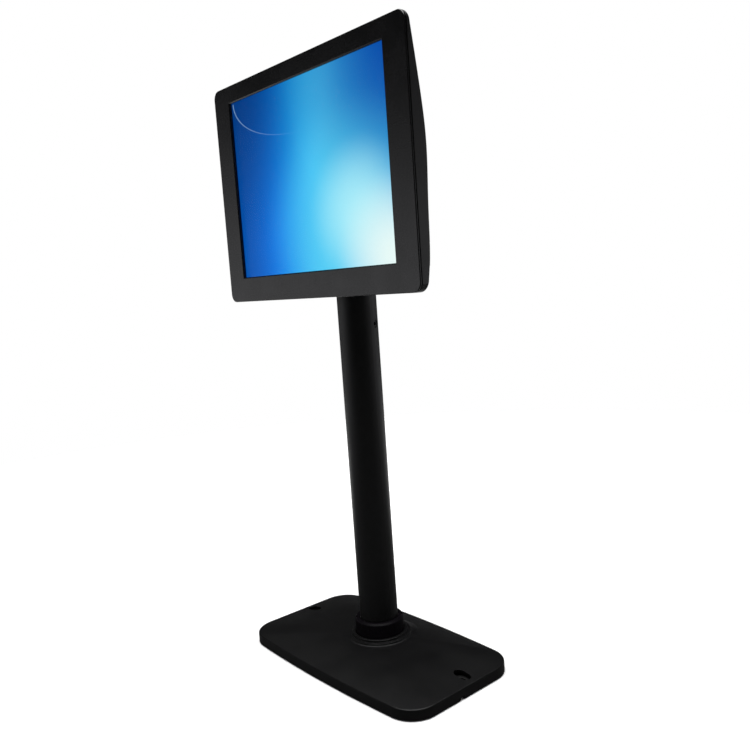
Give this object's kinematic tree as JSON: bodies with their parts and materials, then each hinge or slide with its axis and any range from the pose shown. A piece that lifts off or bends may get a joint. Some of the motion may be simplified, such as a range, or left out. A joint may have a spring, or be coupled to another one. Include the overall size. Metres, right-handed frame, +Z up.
{
  "type": "pos touchscreen terminal",
  "caption": "Touch terminal for a checkout counter: a flat screen head that tilts and swivels on a round pole with a low weighted foot.",
  "frame": {"origin": "on the counter under the middle of the foot", "axes": "X along the foot and across the screen, the screen faces -Y, Z up; screen facing straight forward and upright at rest"},
  "size_m": [0.306, 0.153, 0.616],
  "materials": {
    "foot_cover": "fine satin texture",
    "foot_plate": "powder coat",
    "foot_screws": "zinc plated",
    "socket_screws": "zinc plated",
    "foot_pads": "matt",
    "pole_socket": "satin",
    "pole_ferrule": "acetal",
    "locking_collar": "satin paint",
    "pole_tube": "satin powder coat",
    "stem_set_screw": "black oxide",
    "lower_bush": "acetal",
    "upper_bush": "acetal",
    "neck_stem": "satin",
    "tilt_bolt": "black oxide",
    "tilt_nut": "black oxide",
    "friction_washers": "acetal",
    "spring_washer": "spring steel",
    "tilt_bracket": "satin powder coat",
    "front_bezel": "satin",
    "glass_gasket": "foam",
    "touch_glass": "clear",
    "lcd_panel": "picture side lit",
    "rear_cover": "fine texture",
    "cover_screws": "black oxide",
    "chassis": "zinc coated sheet",
    "chassis_screws": "zinc plated",
    "vesa_standoffs": "plain",
    "bracket_screws": "black oxide",
    "board_standoffs": "plain",
    "board_screws": "zinc plated",
    "mainboard": "solder mask",
    "heat_spreader": "plain",
    "wifi_module": "solder mask",
    "touch_board": "solder mask",
    "speaker": "plain",
    "display_ribbon": "film",
    "usb_ports": "tinned shell",
    "video_port": "tinned shell",
    "dc_inlet": "plain",
    "power_button": "satin",
    "button_spring": "spring wire",
    "power_switch": "plain"
  },
  "bodies": {
    "stand": {"foot_cover": "foot_cover", "foot_plate": "foot_plate", "foot_screws": "foot_screws", "socket_screws": "socket_screws", "foot_pads": "foot_pads", "pole_socket": "pole_socket", "pole_ferrule": "pole_ferrule", "locking_collar": "locking_collar", "pole_tube": "pole_tube", "stem_set_screw": "stem_set_screw", "lower_bush": "lower_bush", "upper_bush": "upper_bush"},
    "neck": {"neck_stem": "neck_stem"},
    "head": {"tilt_bolt": "tilt_bolt", "tilt_nut": "tilt_nut", "friction_washers": "friction_washers", "spring_washer": "spring_washer", "tilt_bracket": "tilt_bracket", "front_bezel": "front_bezel", "glass_gasket": "glass_gasket", "touch_glass": "touch_glass", "lcd_panel": "lcd_panel", "rear_cover": "rear_cover", "cover_screws": "cover_screws", "chassis": "chassis", "chassis_screws": "chassis_screws", "vesa_standoffs": "vesa_standoffs", "bracket_screws": "bracket_screws", "board_standoffs": "board_standoffs", "board_screws": "board_screws", "mainboard": "mainboard", "heat_spreader": "heat_spreader", "wifi_module": "wifi_module", "touch_board": "touch_board", "speaker": "speaker", "display_ribbon": "display_ribbon", "usb_ports": "usb_ports", "video_port": "video_port", "dc_inlet": "dc_inlet", "button_spring": "button_spring", "power_switch": "power_switch"},
    "button": {"power_button": "power_button"}
  },
  "joints": [
    {"name": "swivel", "type": "hinge", "parent": "stand", "child": "neck", "pos_m": [0, 0.01, 0.45], "axis": [0, 0, 1], "range_deg": [-90, 90]},
    {"name": "tilt", "type": "hinge", "parent": "neck", "child": "head", "pos_m": [0, 0.01, 0.501], "axis": [-1, 0, 0], "range_deg": [-5, 30]},
    {"name": "power_press", "type": "slide", "parent": "head", "child": "button", "axis": [0, 0, 1], "range_m": [0, 0.001], "stiffness_N_per_m": 400, "springref_m": -0.003, "deforming": ["button_spring"]}
  ]
}
